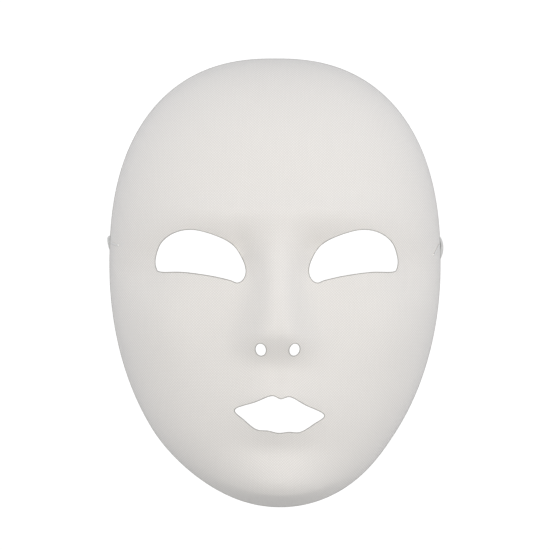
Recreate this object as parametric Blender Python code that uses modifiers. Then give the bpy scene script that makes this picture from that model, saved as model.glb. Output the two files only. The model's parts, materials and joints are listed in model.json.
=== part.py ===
"""A plain white full-face mask, built as the real one is made.

A thin plastic shell is vacuum formed over a face mould and faced with woven cloth. Its rim is cut
flat, and its eyes, mouth and nostrils are cut right through. A flat elastic strap is stapled
inside each temple and loops behind the wearer's head.

Units are metres. The face looks along -Y, +Z is up, and the back rim lies in the plane y = 0.
The origin is the middle of that plane at the widest level, where the head meets the mask.
"""

import math
from functools import partial

import bmesh
import bpy
import numpy as np
from mathutils import Vector

# Outline of the rim: two half superellipses that meet at the widest level, z = 0. Below the mouth
# the middle line of the face wanders to +X, by CHIN_LEAN at the chin.
HALF_WIDTH = 0.0922
TOP_HEIGHT = 0.1150
CHIN_HEIGHT = 0.1350
TOP_ROUNDNESS = 2.38
CHIN_ROUNDNESS = 2.02
CHIN_LEAN = 0.0028
LEANS_FROM = -0.0920

# Cross-sections: the shell stands DEPTH in front of the rim before the features are added.
DEPTH = 0.0650
TOP_FULLNESS = 2.60
CHIN_FULLNESS = 2.20
FEATURES_FADE_FROM = 0.95

# Round swellings and hollows: side, level, half width, half height and rise of each one.
# A side other than 0 is mirrored to both halves of the face.
SWELLINGS = {
    "forehead": (0.0, 0.0630, 0.0430, 0.0330, 0.0024),
    "nose root": (0.0, 0.0185, 0.0098, 0.0110, 0.0024),
    "eye socket": (0.0400, 0.0087, 0.0265, 0.0086, -0.0066),
    "inner eye corner": (0.0203, 0.0052, 0.0068, 0.0108, -0.0050),
    "temple": (0.0745, -0.0016, 0.0136, 0.0120, -0.0048),
    "cheekbone": (0.0645, -0.0345, 0.0180, 0.0210, 0.0036),
    "nostril wing": (0.0152, -0.0420, 0.0096, 0.0104, 0.0036),
    "muzzle": (0.0, -0.0795, 0.0200, 0.0204, 0.0054),
    "philtrum": (0.0, -0.0650, 0.0046, 0.0086, -0.0006),
    "upper lip": (0.0, -0.0745, 0.0175, 0.0062, 0.0022),
    "lower lip": (0.0, -0.0966, 0.0156, 0.0059, 0.0016),
    "chin fold": (0.0, -0.1002, 0.0230, 0.0086, -0.0036),
    "chin": (0.0, -0.1262, 0.0270, 0.0142, 0.0126),
}

# The brow is a bar that runs level and dies out towards the temples.
BROW_LEVEL = 0.0292
BROW_HALF_HEIGHT = 0.0086
BROW_RISE = 0.0039
BROW_FULL_TO = 0.0330
BROW_ENDS_AT = 0.0780

# The nose grows out of the brow down to its tip, then falls back to the upper lip.
NOSE_RISE = 0.0167
NOSE_STARTS_AT = 0.0245
NOSE_TIP_LEVEL = -0.0298
NOSE_FALLS_FROM = -0.0358
NOSE_ENDS_AT = -0.0590
NOSE_HALF_WIDTH_TOP = 0.0101
NOSE_HALF_WIDTH_TIP = 0.0150
NOSE_ROUNDNESS = 2.4

# Openings, in the x, z plane. The eye is the one at +X, and the mouth the half at +X.
EYE_OUTLINE = (
    (0.0175, -0.0030), (0.0194, 0.0035), (0.0245, 0.0110), (0.0340, 0.0162),
    (0.0465, 0.0195), (0.0565, 0.0180), (0.0640, 0.0125), (0.0672, 0.0040),
    (0.0668, -0.0020), (0.0640, -0.0039), (0.0525, -0.0040), (0.0380, -0.0059),
    (0.0270, -0.0083), (0.0222, -0.0099), (0.0188, -0.0078),
)
MOUTH_HALF_OUTLINE = (
    (0.0, -0.0744), (0.0053, -0.0730), (0.0140, -0.0770), (0.0249, -0.0818),
    (0.0192, -0.0874), (0.0123, -0.0921), (0.0058, -0.0925), (0.0, -0.0934),
)
MOUTH_SHIFT = 0.0014
MOUTH_ROLL = math.radians(3.5)
NOSTRIL_SIDE = 0.00935
NOSTRIL_LEVEL = -0.0470
NOSTRIL_HALF_WIDTH = 0.0029
NOSTRIL_HALF_HEIGHT = 0.0035
NOSTRIL_LEAN = math.radians(18)

# Sheet thicknesses, and the air left between pieces that touch.
CLOTH = 0.0005
PLASTIC = 0.0010
GAP = 0.0003

# The elastic strap: its section, and its loop in plan from the temple round to the back.
STRAP_WIDTH = 0.0120
STRAP_THICKNESS = 0.0012
STRAP_LEVEL = 0.0110
TAB_LENGTH = 0.0270
TAB_CLEARANCE = 0.0004
BULGE_HALF_WIDTH = 0.0939
BULGE_BEHIND = 0.0140
LOOP_REACH = 0.0740
LOOP_SAG = 0.0460
FLEX_LENGTH = 0.0110
RUN_LENGTH = 0.0900

# A staple through the strap, the shell and the cloth at each temple.
STAPLE_WIRE = 0.0007
STAPLE_CROWN = 0.0110
STAPLE_BEHIND_FACE = 0.0165
STAPLE_LEVELS = {"right": 0.0085, "left": 0.0115}
STAPLE_TILTS = {"right": math.radians(32), "left": math.radians(6)}

RINGS = 22
SPOKES = 52
POLE_LEVEL = -0.0250
RIM_SKIRT = 0.0030
NUDGE = 0.0001


def smooth_step(low, high, value):
    """Rises smoothly from 0 at low to 1 at high."""
    part = np.clip((value - low) / (high - low), 0.0, 1.0)
    return part * part * (3.0 - 2.0 * part)


def bell(distance, half_width):
    """1 at no distance, fading smoothly to nothing."""
    return np.exp(-((distance / half_width) ** 2))


def lean(z):
    """How far the middle line of the face lies to +X at the level z."""
    return CHIN_LEAN * (1.0 - smooth_step(-CHIN_HEIGHT, LEANS_FROM, z))


def outward(x, z):
    """How far out a place is: 0 at the origin and 1 on the rim."""
    height = np.where(z > 0, TOP_HEIGHT, CHIN_HEIGHT)
    power = np.where(z > 0, TOP_ROUNDNESS, CHIN_ROUNDNESS)
    total = (np.abs(x - lean(z)) / HALF_WIDTH) ** power + (np.abs(z) / height) ** power
    return total ** (1.0 / power)


def nose(side, z):
    """The rise of the nose alone."""
    grown = 1.0 - smooth_step(NOSE_TIP_LEVEL, NOSE_STARTS_AT, z)
    left = smooth_step(NOSE_ENDS_AT, NOSE_FALLS_FROM, z)
    widening = 1.0 - smooth_step(NOSE_TIP_LEVEL, 0.0, z)
    half_width = NOSE_HALF_WIDTH_TOP + (NOSE_HALF_WIDTH_TIP - NOSE_HALF_WIDTH_TOP) * widening
    return NOSE_RISE * grown * left * np.exp(-((side / half_width) ** NOSE_ROUNDNESS))


def relief(x, z):
    """How far the outer face stands in front of the rim plane at x, z."""
    out = np.clip(outward(x, z), 0.0, 1.0)
    side = np.abs(x - lean(z))
    upper = smooth_step(-0.030, 0.030, z)
    fullness = CHIN_FULLNESS + (TOP_FULLNESS - CHIN_FULLNESS) * upper
    dome = DEPTH * np.sqrt(1.0 - out**fullness)
    brow_side = 1.0 - smooth_step(BROW_FULL_TO, BROW_ENDS_AT, side)
    features = BROW_RISE * bell(z - BROW_LEVEL, BROW_HALF_HEIGHT) * brow_side + nose(side, z)
    for centre, level, half_width, half_height, rise in SWELLINGS.values():
        features += rise * bell(side - centre, half_width) * bell(z - level, half_height)
    return dome + features * (1.0 - smooth_step(FEATURES_FADE_FROM, 1.0, out))


def rim_point(angle):
    """The place x, z on the rim outline, with angle 0 at +X and a quarter turn at the top."""
    x, z = math.cos(angle), math.sin(angle)
    height = TOP_HEIGHT if z > 0 else CHIN_HEIGHT
    power = 2.0 / (TOP_ROUNDNESS if z > 0 else CHIN_ROUNDNESS)
    level = math.copysign(abs(z) ** power, z) * height
    return math.copysign(abs(x) ** power, x) * HALF_WIDTH + float(lean(level)), level


def material(name, colour, roughness, metallic=0.0):
    """A Principled material from a linear colour."""
    made = bpy.data.materials.new(name)
    made.use_nodes = True
    shader = made.node_tree.nodes["Principled BSDF"]
    shader.inputs["Base Color"].default_value = (*colour, 1.0)
    shader.inputs["Roughness"].default_value = roughness
    shader.inputs["Metallic"].default_value = metallic
    return made


def new_object(name, mesh, collection, surface=None):
    obj = bpy.data.objects.new(name, mesh)
    collection.objects.link(obj)
    if surface:
        mesh.materials.append(surface)
    return obj


def hide_cutter(obj):
    obj.hide_render = True
    obj.display_type = "WIRE"


def face_skin(name, depth, thickness, collection, surface):
    """A skin of the face that starts this deep under the outer surface.

    It starts as the front half of a sphere whose pole is near the nose. Each point of the sphere
    moves to its place on the face, and the last ring runs straight back past the rim plane.
    """
    bm = bmesh.new()
    bmesh.ops.create_uvsphere(bm, u_segments=SPOKES, v_segments=2 * RINGS, radius=1.0)
    ring_angle = math.pi / (2 * RINGS)
    behind = [v for v in bm.verts if v.co.z < -1.5 * math.sin(ring_angle)]
    bmesh.ops.delete(bm, geom=behind, context="VERTS")
    for vert in bm.verts:
        turn = math.atan2(vert.co.y, vert.co.x)
        rim_x, rim_z = rim_point(turn)
        if vert.co.z > 0.5 * math.sin(ring_angle):
            spread = math.hypot(vert.co.x, vert.co.y)
            x, z = spread * rim_x, POLE_LEVEL + spread * (rim_z - POLE_LEVEL)
            vert.co = (x, -relief(x, z), z)
        else:
            back = 0.0 if vert.co.z > -0.5 * math.sin(ring_angle) else RIM_SKIRT
            vert.co = (rim_x, back, rim_z)
    bmesh.ops.triangulate(bm, faces=bm.faces, quad_method="SHORT_EDGE")
    bmesh.ops.recalc_face_normals(bm, faces=bm.faces)
    front = max(bm.faces, key=lambda face: -face.calc_center_median().y)
    if front.normal.y > 0:
        bmesh.ops.reverse_faces(bm, faces=bm.faces)
    mesh = bpy.data.meshes.new(name)
    bm.to_mesh(mesh)
    bm.free()
    mesh.shade_smooth()
    skin = new_object(name, mesh, collection, surface)
    thicken(skin, thickness, -1.0 - 2.0 * depth / thickness)
    return skin


def thicken(obj, thickness, side):
    """Gives an open surface a thickness: side is 0 for both sides, -1 for under it, or less for deeper."""
    modifier = obj.modifiers.new("thickness", "SOLIDIFY")
    modifier.thickness = thickness
    modifier.offset = side
    modifier.use_even_offset = True


def cut_by(obj, cutters):
    modifier = obj.modifiers.new("openings", "BOOLEAN")
    modifier.operation = "DIFFERENCE"
    modifier.solver = "EXACT"
    modifier.operand_type = "COLLECTION"
    modifier.collection = cutters


def smooth_outline(points, steps):
    """A closed Catmull-Rom curve through the points, with the given steps between each two."""
    found = []
    for i, start in enumerate(points):
        before, end, after = points[i - 1], points[(i + 1) % len(points)], points[(i + 2) % len(points)]
        for k in range(steps):
            t = k / steps
            found.append([
                0.5 * (2 * b + (c - a) * t + (2 * a - 5 * b + 4 * c - d) * t**2)
                + 0.5 * (3 * b - a - 3 * c + d) * t**3
                for a, b, c, d in zip(before, start, end, after)
            ])
    return found


def prism(name, outline, collection):
    """A cutter of this x, z outline that runs along Y through the front of the face."""
    bm = bmesh.new()
    face = bm.faces.new([bm.verts.new((x, -0.100, z)) for x, z in outline])
    swept = bmesh.ops.extrude_face_region(bm, geom=[face])
    moved = [item for item in swept["geom"] if isinstance(item, bmesh.types.BMVert)]
    bmesh.ops.translate(bm, vec=(0.0, 0.085, 0.0), verts=moved)
    bmesh.ops.recalc_face_normals(bm, faces=bm.faces)
    mesh = bpy.data.meshes.new(name)
    bm.to_mesh(mesh)
    bm.free()
    hide_cutter(new_object(name, mesh, collection))


def mirrored(outline):
    return [(-x, z) for x, z in reversed(outline)]


def mouth_outline():
    """Both halves of the mouth, moved and rolled as it was cut."""
    half = list(MOUTH_HALF_OUTLINE)
    whole = half + [(-x, z) for x, z in reversed(half[1:-1])]
    middle = sum(z for _, z in whole) / len(whole)
    turn_cos, turn_sin = math.cos(MOUTH_ROLL), math.sin(MOUTH_ROLL)
    return [
        (MOUTH_SHIFT + x * turn_cos + (z - middle) * turn_sin,
         middle + (z - middle) * turn_cos - x * turn_sin)
        for x, z in whole
    ]


def nostril_outline(side):
    """An oval whose top leans outward; side is +1 or -1."""
    oval = []
    for k in range(12):
        turn = math.tau * k / 12
        across = NOSTRIL_HALF_WIDTH * math.cos(turn)
        up = NOSTRIL_HALF_HEIGHT * math.sin(turn)
        lean = side * NOSTRIL_LEAN
        oval.append((
            side * NOSTRIL_SIDE + across * math.cos(lean) + up * math.sin(lean),
            NOSTRIL_LEVEL + up * math.cos(lean) - across * math.sin(lean),
        ))
    return oval


def wall_side(behind_face, z):
    """Half the width of the outer face, measured this far in front of the rim at the level z."""
    inner, outer = 0.070, HALF_WIDTH
    for _ in range(40):
        middle = 0.5 * (inner + outer)
        if relief(np.float64(middle), np.float64(z)) > behind_face:
            inner = middle
        else:
            outer = middle
    return 0.5 * (inner + outer)


def tab_side(y):
    """Where the middle of the strap's thickness lies against the inner wall, at y <= 0."""
    half = 0.5 * STRAP_WIDTH
    narrowest = min(wall_side(-y, STRAP_LEVEL - half), wall_side(-y, STRAP_LEVEL + half))
    slope = (wall_side(-y, STRAP_LEVEL) - wall_side(-y + 0.002, STRAP_LEVEL)) / 0.002
    skins = CLOTH + GAP + PLASTIC + TAB_CLEARANCE + 0.5 * STRAP_THICKNESS
    return narrowest - skins * math.hypot(1.0, slope)


def loop_plan():
    """Half of the strap's loop in plan, from the rim at +X round to the middle of the back."""
    start = tab_side(0.0)
    plan = []
    for k in range(16):
        y = BULGE_BEHIND * k / 16
        plan.append((start + (BULGE_HALF_WIDTH - start) * float(smooth_step(0, BULGE_BEHIND, y)), y))
    for k in range(91):
        turn = math.radians(k)
        plan.append((BULGE_HALF_WIDTH * math.cos(turn), BULGE_BEHIND + LOOP_REACH * math.sin(turn)))
    return np.array(plan)


PLAN = loop_plan()
ALONG = np.concatenate([[0.0], np.cumsum(np.hypot(*np.diff(PLAN, axis=0).T))])
HALF_LOOP = ALONG[-1]


def loop_point(along):
    """A point on the middle of the strap, this far along from the rim at +X.

    The strap leaves each temple level, sags, and is level again in the middle of the back.
    """
    on_left = along > HALF_LOOP
    along = 2 * HALF_LOOP - along if on_left else along
    x = np.interp(along, ALONG, PLAN[:, 0])
    y = np.interp(along, ALONG, PLAN[:, 1])
    z = STRAP_LEVEL - LOOP_SAG * float(smooth_step(0.0, HALF_LOOP, along))
    return Vector((-x if on_left else x, y, z))


def ribbon(name, path, start, end, steps, collection, surface):
    """A flat strap on edge along path(a), for a from start to end, as a strip with a thickness."""
    bm = bmesh.new()
    rows = []
    for along in np.linspace(start, end, steps):
        ahead = path(along + NUDGE) - path(along - NUDGE)
        flat = Vector((0, 0, 1)).cross(ahead).normalized()
        up = ahead.normalized().cross(flat)
        rows.append([bm.verts.new(path(along) + up * STRAP_WIDTH * part) for part in (-0.5, 0.5)])
    for low, high in zip(rows, rows[1:]):
        bm.faces.new((low[0], high[0], high[1], low[1]))
    mesh = bpy.data.meshes.new(name)
    bm.to_mesh(mesh)
    bm.free()
    strip = new_object(name, mesh, collection, surface)
    thicken(strip, STRAP_THICKNESS, 0.0)
    return strip


def tab_point(side, y):
    """A point on the middle of the strap's stapled end, flat against the inside of the wall."""
    return Vector((side * tab_side(min(y, 0.0)), y, STRAP_LEVEL))


def staple_frame(side, level, tilt):
    """The middle of a staple on the outer wall, its direction, which rises backwards, and outward."""
    step = 0.002
    x = wall_side(STAPLE_BEHIND_FACE, level)
    back = wall_side(STAPLE_BEHIND_FACE - step, level) - wall_side(STAPLE_BEHIND_FACE + step, level)
    rise = wall_side(STAPLE_BEHIND_FACE, level + step) - wall_side(STAPLE_BEHIND_FACE, level - step)
    backward = Vector((side * back, 2 * step, 0.0)).normalized()
    upward = Vector((side * rise, 0.0, 2 * step)).normalized()
    out = backward.cross(upward).normalized() * side
    along = (backward * math.cos(tilt) + upward * math.sin(tilt)).normalized()
    return Vector((side * x, -STAPLE_BEHIND_FACE, level)), along, out


def staple(name, side, placing, collection, surface, holes):
    """A bent wire: the crown lies on the cloth, and the legs fold over inside the strap's end.

    placing is the level of its middle and its tilt.
    """
    middle, along, out = staple_frame(side, *placing)
    wire = 0.5 * STAPLE_WIRE
    half = 0.5 * STAPLE_CROWN
    over = wire + GAP
    stack = CLOTH + GAP + PLASTIC + TAB_CLEARANCE + STRAP_THICKNESS + GAP
    under = -(stack + 0.0007 + wire)
    corner = 2.2 * wire
    quarter = [(-half + 0.0012, under), (-half + corner, under)]
    for centre, first in (((-half + corner, under + corner), 270), ((-half + corner, over - corner), 180)):
        for k in range(1, 4):
            turn = math.radians(first - 30 * k)
            quarter.append((centre[0] + corner * math.cos(turn), centre[1] + corner * math.sin(turn)))
    bends = [(-0.0012, under), *quarter[1:], *[(-t, n) for t, n in reversed(quarter[1:])], (0.0012, under)]
    curve = bpy.data.curves.new(name, "CURVE")
    curve.dimensions = "3D"
    curve.bevel_depth = wire
    curve.bevel_resolution = 2
    curve.use_fill_caps = True
    spline = curve.splines.new("POLY")
    spline.points.add(len(bends) - 1)
    for point, (t, n) in zip(spline.points, bends):
        point.co = (*(middle + along * t + out * n), 1.0)
    curve.materials.append(surface)
    new_object(name, curve, collection)
    for end in (-1, 1):
        drill_staple_hole(f"{name}_hole_{end}", middle + along * end * half, out, holes)


def drill_staple_hole(name, place, out, holes):
    bm = bmesh.new()
    radius = 0.5 * STAPLE_WIRE + GAP
    bmesh.ops.create_cone(bm, cap_ends=True, segments=12, radius1=radius, radius2=radius, depth=0.012)
    mesh = bpy.data.meshes.new(name)
    bm.to_mesh(mesh)
    bm.free()
    hole = new_object(name, mesh, holes)
    hole.location = place
    hole.rotation_euler = out.to_track_quat("Z", "Y").to_euler()
    hide_cutter(hole)


def rim_trimmer(collection):
    """A block whose front face is the rim plane."""
    bm = bmesh.new()
    bmesh.ops.create_cube(bm, size=1.0)
    bmesh.ops.scale(bm, vec=(0.30, 0.02, 0.40), verts=bm.verts)
    bmesh.ops.translate(bm, vec=(0.0, 0.01, 0.0), verts=bm.verts)
    mesh = bpy.data.meshes.new("rim_trimmer")
    bm.to_mesh(mesh)
    bm.free()
    hide_cutter(new_object("rim_trimmer", mesh, collection))


def main():
    for old in list(bpy.data.objects):
        bpy.data.objects.remove(old)
    pieces = bpy.data.collections.new("full_face_mask")
    openings = bpy.data.collections.new("openings")
    staple_holes = bpy.data.collections.new("staple_holes")
    bpy.context.scene.collection.children.link(pieces)
    bpy.context.scene.collection.children.link(openings)
    openings.children.link(staple_holes)

    plastic = material("white_pvc", (0.78, 0.77, 0.74), 0.45)
    cloth = material("white_cotton", (0.75, 0.74, 0.71), 0.85)
    elastic = material("white_elastic", (0.80, 0.80, 0.79), 0.80)
    steel = material("staple_steel", (0.62, 0.62, 0.62), 0.30, 1.0)

    rim_trimmer(openings)
    eye = smooth_outline(EYE_OUTLINE, 2)
    prism("eye_right_cut", eye, openings)
    prism("eye_left_cut", mirrored(eye), openings)
    prism("mouth_cut", smooth_outline(mouth_outline(), 2), openings)
    prism("nostril_right_cut", nostril_outline(1), openings)
    prism("nostril_left_cut", nostril_outline(-1), openings)

    cut_by(face_skin("facing_cloth", 0.0, CLOTH, pieces, cloth), openings)
    cut_by(face_skin("mask_shell", CLOTH + GAP, PLASTIC, pieces, plastic), openings)

    whole_loop = 2 * HALF_LOOP
    run_end = FLEX_LENGTH + RUN_LENGTH
    for name, side in (("right", 1), ("left", -1)):
        inner_end = partial(tab_point, side)
        tab = ribbon(f"strap_tab_{name}", inner_end, -TAB_LENGTH, -GAP, 9, pieces, elastic)
        cut_by(tab, staple_holes)
        placing = STAPLE_LEVELS[name], STAPLE_TILTS[name]
        staple(f"staple_{name}", side, placing, pieces, steel, staple_holes)
        stretches = (("strap_flex", 0.0, FLEX_LENGTH, 5), ("strap_run", FLEX_LENGTH + GAP, run_end, 17))
        for piece, start, end, steps in stretches:
            if side < 0:
                start, end = whole_loop - start, whole_loop - end
            ribbon(f"{piece}_{name}", loop_point, start, end, steps, pieces, elastic)
    back_ends = run_end + GAP, whole_loop - run_end - GAP
    ribbon("strap_back", loop_point, *back_ends, 19, pieces, elastic)


main()
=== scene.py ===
# %% [markdown]
# # A plain white full-face mask
#
# The real mask is a thin plastic sheet, vacuum formed over a face mould and faced with fine white
# cotton cloth. Its rim is cut flat, its eyes, nostrils and mouth are cut right through, and a flat
# elastic strap is stapled inside each temple. This lesson builds the looks of those pieces around
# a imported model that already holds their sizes, bodies and joints.

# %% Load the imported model
import json
import math

import bmesh
import bpy
import numpy as np
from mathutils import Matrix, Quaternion, Vector

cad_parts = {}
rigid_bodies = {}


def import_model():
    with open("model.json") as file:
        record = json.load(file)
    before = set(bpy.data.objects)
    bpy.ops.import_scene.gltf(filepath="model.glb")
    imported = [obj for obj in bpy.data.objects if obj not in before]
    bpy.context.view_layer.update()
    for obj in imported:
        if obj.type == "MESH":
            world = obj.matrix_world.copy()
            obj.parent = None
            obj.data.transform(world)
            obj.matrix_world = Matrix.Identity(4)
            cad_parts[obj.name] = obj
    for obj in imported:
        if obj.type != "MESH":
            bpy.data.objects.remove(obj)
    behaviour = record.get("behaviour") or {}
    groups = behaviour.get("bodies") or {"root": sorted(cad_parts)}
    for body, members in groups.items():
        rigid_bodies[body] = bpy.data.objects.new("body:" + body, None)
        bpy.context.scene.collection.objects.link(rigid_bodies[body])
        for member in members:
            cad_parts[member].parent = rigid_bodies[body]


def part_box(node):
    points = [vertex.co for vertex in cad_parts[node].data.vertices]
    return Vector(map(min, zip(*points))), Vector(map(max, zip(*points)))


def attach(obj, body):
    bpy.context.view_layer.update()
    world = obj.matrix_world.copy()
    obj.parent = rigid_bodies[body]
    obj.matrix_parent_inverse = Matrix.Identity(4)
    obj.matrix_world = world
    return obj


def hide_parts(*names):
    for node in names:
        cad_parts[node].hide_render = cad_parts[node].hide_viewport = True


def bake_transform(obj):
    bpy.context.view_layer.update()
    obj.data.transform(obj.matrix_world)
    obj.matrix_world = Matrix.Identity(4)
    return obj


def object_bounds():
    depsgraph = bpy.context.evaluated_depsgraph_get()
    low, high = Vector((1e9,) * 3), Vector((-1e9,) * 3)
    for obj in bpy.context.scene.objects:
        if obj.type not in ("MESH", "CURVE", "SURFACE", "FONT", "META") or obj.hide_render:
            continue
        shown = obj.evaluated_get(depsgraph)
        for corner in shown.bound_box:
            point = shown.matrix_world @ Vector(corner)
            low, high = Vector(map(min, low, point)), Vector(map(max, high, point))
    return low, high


MM = 0.001

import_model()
CAD_LOW, CAD_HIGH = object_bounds()
FACE_LOW, FACE_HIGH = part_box("facing_cloth")
print("mask, mm:", [round((high - low) / MM, 1) for low, high in zip(FACE_LOW, FACE_HIGH)])

# %% [markdown]
# ## The camera
#
# The mask is looked at squarely from the front, from so far away that its nose isn't enlarged.
# The camera stands a little to the viewer's left, so the nose lies a touch right of the outline's
# middle. The lens is worked out from the distance and from how much space is to be in view.

# %% Place the camera
CAMERA_DISTANCE = 10.0
CAMERA_TURN = math.radians(1.2)
VIEW_LEVEL = -5.6 * MM
VIEW_HEIGHT = 307.0 * MM
SENSOR = 36.0

camera_data = bpy.data.cameras.new("front camera")
camera_data.sensor_width = SENSOR
camera_data.lens = SENSOR * CAMERA_DISTANCE / VIEW_HEIGHT
camera = bpy.data.objects.new("front camera", camera_data)
bpy.context.scene.collection.objects.link(camera)
aim = Vector((0.0, 0.0, VIEW_LEVEL))
camera.location = aim + CAMERA_DISTANCE * Vector((-math.sin(CAMERA_TURN), -math.cos(CAMERA_TURN), 0.0))
camera.rotation_euler = (aim - camera.location).to_track_quat("-Z", "Y").to_euler()
bpy.context.scene.camera = camera
print("lens, mm:", round(camera_data.lens))

# %% [markdown]
# ## Colours and nodes
#
# Colours are written as the hex values that a screen shows. Shaders work in linear light, so one
# function converts them. A second small function adds any kind of node, sets its properties, and
# gives each of its sockets a value or a link. A third starts a material.

# %% Colour and node helpers
def linear(hex_colour):
    """The linear colour of an sRGB hex value such as "e2e0da", with alpha 1."""
    levels = [int(hex_colour[i:i + 2], 16) / 255 for i in (0, 2, 4)]
    return [v / 12.92 if v <= 0.04045 else ((v + 0.055) / 1.055) ** 2.4 for v in levels] + [1.0]


def add(tree, kind, sockets=None, **settings):
    """Adds a node of this kind. sockets gives each input, by name or number, a value or a link."""
    made = tree.nodes.new("ShaderNode" + kind)
    for name, value in settings.items():
        setattr(made, name, value)
    for name, value in (sockets or {}).items():
        if isinstance(value, bpy.types.NodeSocket):
            tree.links.new(value, made.inputs[name])
        else:
            made.inputs[name].default_value = value
    return made


def new_material(name):
    """A material with only its output node, its node tree and that output."""
    made = bpy.data.materials.new(name)
    made.use_nodes = True
    made.node_tree.nodes.clear()
    return made, made.node_tree, made.node_tree.nodes.new("ShaderNodeOutputMaterial")


# %% [markdown]
# ## Floor and studio light
#
# A white object on white needs soft light from all round, or its shape goes grey and patchy. A
# white world gives more than half of the light, as a light tent does. One broad, slightly warm lamp
# straight in front lights what faces it, so the slopes of the brow, the nose and the chin fall off
# softly. A weak one above lifts the forehead. Weak lamps at both sides, and stronger ones further
# out in front, keep the cheeks from greying, and those on the right are stronger, so the left of
# the jaw is the darkest place. Two lamps behind reach the rim, the strap and the hollow.

# %% Make the floor
FLOOR_DROP = 0.350
FLOOR_SIZE = 5.5
PAPER_GLOW = 0.42

# The paper's glow is for the camera only: it whitens the paper and lights nothing else.
paper, tree, output = new_material("white backdrop paper")
seen = add(tree, "LightPath").outputs["Is Camera Ray"]
glow = add(tree, "Math", {0: seen, 1: PAPER_GLOW}, operation="MULTIPLY").outputs[0]
surface = add(tree, "BsdfPrincipled", {
    "Base Color": linear("d0d0cf"),
    "Roughness": 0.9,
    "Emission Color": linear("ffffff"),
    "Emission Strength": glow,
})
tree.links.new(surface.outputs[0], output.inputs["Surface"])

floor_mesh = bpy.data.meshes.new("floor")
bm = bmesh.new()
bmesh.ops.create_grid(bm, x_segments=1, y_segments=1, size=FLOOR_SIZE / 2)
bm.to_mesh(floor_mesh)
bm.free()
floor_mesh.materials.append(paper)
floor = bpy.data.objects.new("floor", floor_mesh)
floor.location.z = CAD_LOW[2] - FLOOR_DROP
bpy.context.scene.collection.objects.link(floor)

# %% Light the studio
WORLD_LIGHT = 0.606
BACKDROP_LIGHT = 1.05

# The camera sees a pure white backdrop. Everything else is lit by a dimmer and slightly blue one.
world = bpy.data.worlds.new("light tent")
world.use_nodes = True
tree = world.node_tree
tree.nodes.clear()
seen = add(tree, "LightPath").outputs["Is Camera Ray"]
around = add(tree, "Background", {"Color": linear("f2f5fa"), "Strength": WORLD_LIGHT})
behind = add(tree, "Background", {"Color": linear("ffffff"), "Strength": BACKDROP_LIGHT})
mixed = add(tree, "MixShader", {0: seen, 1: around.outputs[0], 2: behind.outputs[0]})
output = tree.nodes.new("ShaderNodeOutputWorld")
tree.links.new(mixed.outputs[0], output.inputs["Surface"])
bpy.context.scene.world = world
bpy.context.scene.view_settings.view_transform = "Standard"

# Place in metres, power in watts and colour of each lamp. All of them point at the mask.
LAMP_SIZE = 1.1
LAMPS = {
    "front key": ((0.0, -2.4, 0.0), 19.8, "fffaf2"),
    "top": ((0.0, -0.4, 2.2), 5.4, "ffffff"),
    "right": ((2.2, -0.6, 0.2), 4.4, "fbfcff"),
    "left": ((-2.2, -0.6, 0.2), 2.2, "fbfcff"),
    "back right": ((1.9, 0.8, 0.9), 3.6, "fbfcff"),
    "back left": ((-1.9, 0.8, 0.9), 5.2, "fbfcff"),
    "far right": ((2.6, -2.45, 0.08), 10.4, "fbfcff"),
    "far left": ((-2.6, -2.45, 0.08), 6.8, "fbfcff"),
}

for name, (place, power, hex_colour) in LAMPS.items():
    data = bpy.data.lights.new(f"{name} soft box", "AREA")
    data.size = LAMP_SIZE
    data.energy = power
    data.color = linear(hex_colour)[:3]
    lamp = bpy.data.objects.new(data.name, data)
    lamp.location = place
    lamp.rotation_euler = (-Vector(place)).to_track_quat("-Z", "Y").to_euler()
    lamp.visible_camera = False
    bpy.context.scene.collection.objects.link(lamp)
print("soft boxes:", len(LAMPS))

# %% [markdown]
# ## Cotton cloth
#
# The facing is bleached cotton in a plain weave: each thread goes over one and under the next. Two
# sine waves give that height. Along each thread the wave lifts it where it passes over, so the
# higher of the two threads is what shows. Threads lie 0.75 mm apart. Shade is painted into the gaps
# between them, and each crossing is painted a little lighter or darker by which thread is on top.
# Bleached cotton is matt, with a faint soft sheen from its loose fibres, and the thread coordinates
# are kept on the mesh, so that the weave follows the curves of the face.

# %% Weave the cotton cloth
THREAD_SPACING = 0.75 * MM
THREAD_RISE = 0.12 * MM
THREAD_WANDER = 1.2
CROSSING_SHARE = 0.7
THREAD_FIELD = "thread"

cotton, tree, output = new_material("bleached plain weave cotton")
threads = add(tree, "Attribute", attribute_name=THREAD_FIELD).outputs["Vector"]

# The threads wander by about half their spacing, as cloth that is pulled over a mould does.
drift = add(tree, "TexNoise", {"Vector": threads, "Scale": 0.08, "Detail": 2.0}).outputs["Color"]
drift = add(tree, "VectorMath", {0: drift, 1: (0.5, 0.5, 0.5)}, operation="SUBTRACT").outputs[0]
wander = (THREAD_WANDER, THREAD_WANDER, 0.0)
pulled = add(tree, "VectorMath", {0: drift, 1: wander, 2: threads}, operation="MULTIPLY_ADD")

# The crossing is +1 where a warp thread lies on top and -1 where a weft thread does. It gives most
# of each thread's height, and the thread's own roundness gives the rest.
turns = add(tree, "VectorMath", {0: pulled.outputs[0], "Scale": math.pi}, operation="SCALE").outputs[0]
waves = add(tree, "VectorMath", {0: turns}, operation="SINE").outputs[0]
wave = add(tree, "SeparateXYZ", {0: waves})
crossing = add(tree, "Math", {0: wave.outputs[0], 1: wave.outputs[1]}, operation="MULTIPLY").outputs[0]
rounded = add(tree, "VectorMath", {0: waves}, operation="ABSOLUTE").outputs[0]
lifted = add(tree, "Math", {0: crossing, 1: CROSSING_SHARE}, operation="MULTIPLY").outputs[0]
lowered = add(tree, "Math", {0: lifted, 1: -1.0}, operation="MULTIPLY").outputs[0]
rounded = add(tree, "VectorMath", {0: rounded, "Scale": 1.0 - CROSSING_SHARE}, operation="SCALE").outputs[0]
own_rise = add(tree, "SeparateXYZ", {0: rounded})
warp = add(tree, "Math", {0: own_rise.outputs[0], 1: lifted}, operation="ADD").outputs[0]
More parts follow.
